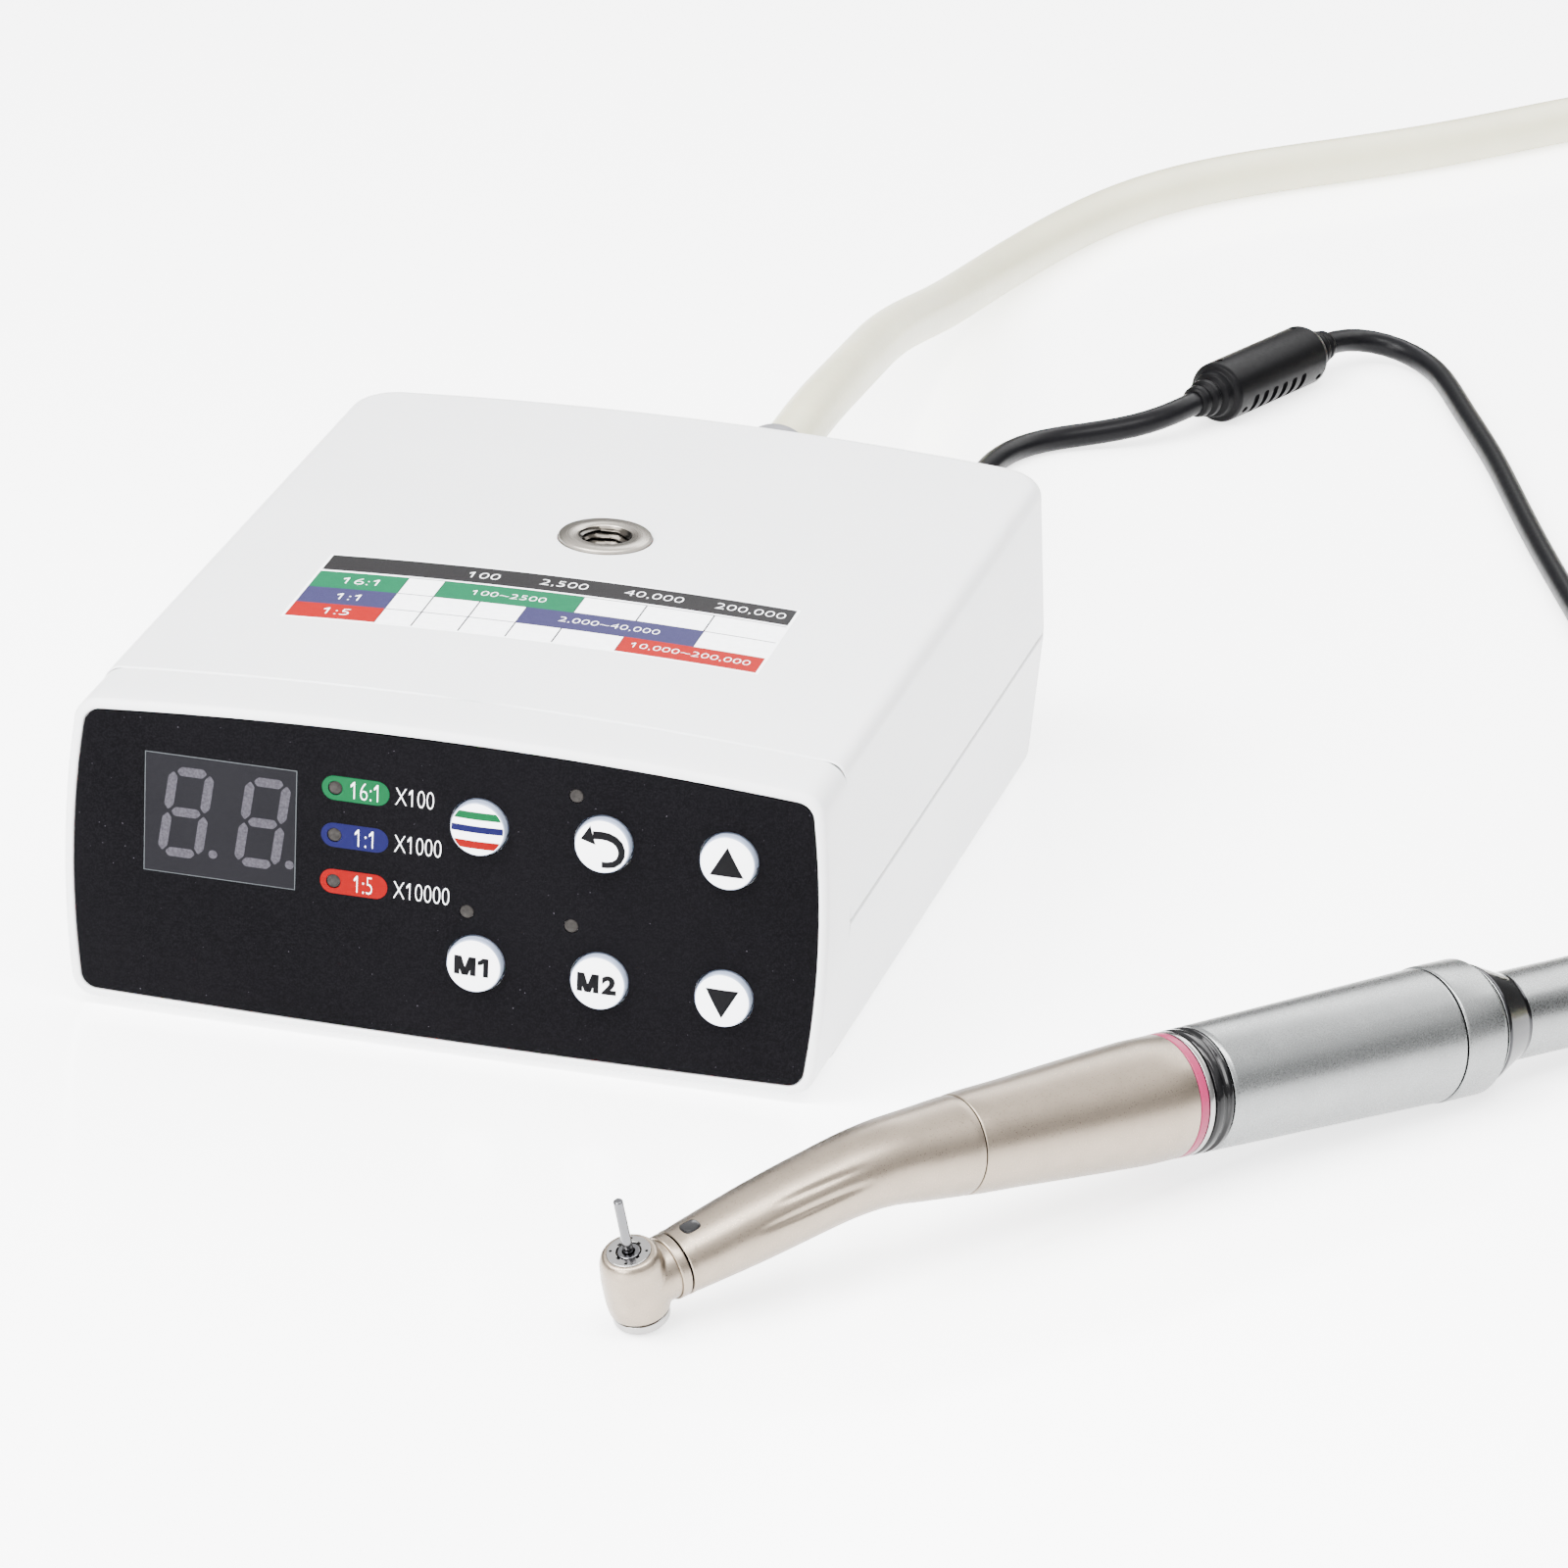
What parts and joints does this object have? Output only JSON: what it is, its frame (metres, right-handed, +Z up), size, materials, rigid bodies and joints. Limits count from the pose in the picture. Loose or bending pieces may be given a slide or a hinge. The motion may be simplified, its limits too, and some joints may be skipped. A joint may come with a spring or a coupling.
{
  "type": "endodontic motor",
  "caption": "Desktop dental motor set: white control box with display and keys, contra-angle handpiece on a silicone hose, power lead with ferrite and adapter.",
  "frame": {"origin": "on the resting plane, under the middle of the control box and handpiece together (cords left out)", "axes": "+Z up, the control box's keys and display face -Y, the handpiece lies at the box's +X side"},
  "size_m": [0.4167, 0.6611, 0.0565],
  "materials": {
    "white_abs": "satin white moulded ABS, faint eggshell texture",
    "black_membrane": "black fine leather-grain membrane",
    "smoked_lens": "smoked grey translucent film",
    "display_grey": "dark grey display block",
    "circuit_board": "green solder mask",
    "light_pipe": "clear moulded light pipe",
    "button_dome": "glossy white domed key",
    "nickel": "bright nickel plate",
    "satin_nickel": "satin beige nickel, bead blasted",
    "motor_aluminium": "fine satin anodised aluminium",
    "steel": "ground steel",
    "copper_winding": "varnished copper winding",
    "black_rubber": "matt black rubber",
    "black_plastic": "satin black plastic",
    "grey_plastic": "satin grey plastic",
    "beige_silicone": "matt ivory silicone rubber",
    "pink_ring": "matt pink enamel ring",
    "lead_black": "satin black PVC lead",
    "seal_black": "glossy black ring",
    "light_glass": "dark glass rod end"
  },
  "bodies": {
    "control_box": {"bottom_shell": "white_abs", "top_shell": "white_abs", "front_bezel": "white_abs", "front_overlay": "black_membrane", "display_window": "smoked_lens", "display_module": "display_grey", "front_board": "circuit_board", "ratio_light_pipe": "light_pipe", "reverse_light_pipe": "light_pipe", "memory_light_pipe": "light_pipe", "threaded_insert": "nickel", "insert_nut": "steel", "foot_1": "black_rubber", "foot_2": "black_rubber", "foot_3": "black_rubber", "foot_4": "black_rubber", "case_screw_1": "steel", "case_screw_2": "steel", "case_screw_3": "steel", "case_screw_4": "steel", "hose_gland": "grey_plastic", "dc_jack": "black_plastic", "supply_inlet": "nickel", "main_board": "circuit_board", "dc_plug": "black_plastic", "ferrite_core": "black_plastic", "power_adapter": "black_plastic", "power_cord_near": "lead_black", "power_cord_far": "lead_black", "power_cord_tail": "lead_black", "power_cord_coil": "lead_black", "motor_hose_near": "beige_silicone", "motor_hose_coil": "beige_silicone", "motor_hose_far": "beige_silicone"},
    "motor": {"motor_sleeve": "motor_aluminium", "motor_end_ring": "motor_aluminium", "hose_connector": "motor_aluminium", "motor_nose": "steel", "stator": "copper_winding", "front_bearing": "steel", "rear_bearing": "steel", "seal_ring": "seal_black"},
    "contra_angle": {"tail_sleeve": "satin_nickel", "colour_ring": "pink_ring", "neck_shell": "satin_nickel", "light_window": "light_glass", "head_housing": "satin_nickel", "head_face": "nickel"},
    "drive_line": {"rotor": "steel", "drive_shaft": "steel"},
    "idler": {"idler_shaft": "steel"},
    "spindle": {"chuck_spindle": "steel", "bur": "steel"},
    "chuck_button": {"push_cap": "nickel"},
    "ratio_key": {"ratio_button": "button_dome"},
    "reverse_key": {"reverse_button": "button_dome"},
    "up_key": {"up_button": "button_dome"},
    "memory_1_key": {"memory_1_button": "button_dome"},
    "memory_2_key": {"memory_2_button": "button_dome"},
    "down_key": {"down_button": "button_dome"}
  },
  "joints": [
    {"name": "ratio_press", "type": "slide", "parent": "control_box", "child": "ratio_key", "axis": [0, 1, 0], "range_m": [0, 0.0005], "stiffness_N_per_m": 400, "springref_m": -0.0005},
    {"name": "reverse_press", "type": "slide", "parent": "control_box", "child": "reverse_key", "axis": [0, 1, 0], "range_m": [0, 0.0005], "stiffness_N_per_m": 400, "springref_m": -0.0005},
    {"name": "up_press", "type": "slide", "parent": "control_box", "child": "up_key", "axis": [0, 1, 0], "range_m": [0, 0.0005], "stiffness_N_per_m": 400, "springref_m": -0.0005},
    {"name": "memory_1_press", "type": "slide", "parent": "control_box", "child": "memory_1_key", "axis": [0, 1, 0], "range_m": [0, 0.0005], "stiffness_N_per_m": 400, "springref_m": -0.0005},
    {"name": "memory_2_press", "type": "slide", "parent": "control_box", "child": "memory_2_key", "axis": [0, 1, 0], "range_m": [0, 0.0005], "stiffness_N_per_m": 400, "springref_m": -0.0005},
    {"name": "down_press", "type": "slide", "parent": "control_box", "child": "down_key", "axis": [0, 1, 0], "range_m": [0, 0.0005], "stiffness_N_per_m": 400, "springref_m": -0.0005},
    {"name": "handpiece_lift", "type": "slide", "parent": "control_box", "child": "motor", "axis": [0, 0, 1], "range_m": [0, 0.06]},
    {"name": "contra_swivel", "type": "hinge", "parent": "motor", "child": "contra_angle", "pos_m": [0.059, -0.04482, 0.01377], "axis": [0.6052, 0.7945, -0.0507], "continuous": true},
    {"name": "drive_spin", "type": "hinge", "parent": "contra_angle", "child": "drive_line", "pos_m": [0.059, -0.04482, 0.01377], "axis": [0.6052, 0.7945, -0.0507], "continuous": true},
    {"name": "idler_spin", "type": "hinge", "parent": "contra_angle", "child": "idler", "pos_m": [0.01906, -0.09725, 0.01711], "axis": [0.6207, 0.7514, 0.2239], "continuous": true},
    {"name": "bur_spin", "type": "hinge", "parent": "contra_angle", "child": "spindle", "pos_m": [-0.00676, -0.12851, 0.0078], "axis": [-0.0959, -0.3388, 0.936], "continuous": true},
    {"name": "chuck_press", "type": "slide", "parent": "contra_angle", "child": "chuck_button", "axis": [-0.0959, -0.3388, 0.936], "range_m": [0, 0.0007], "stiffness_N_per_m": 6000, "springref_m": -0.0005}
  ],
  "couplings": [
    {"joint": "idler_spin", "follows": "drive_spin", "ratio": -2.5},
    {"joint": "bur_spin", "follows": "drive_spin", "ratio": -5}
  ]
}
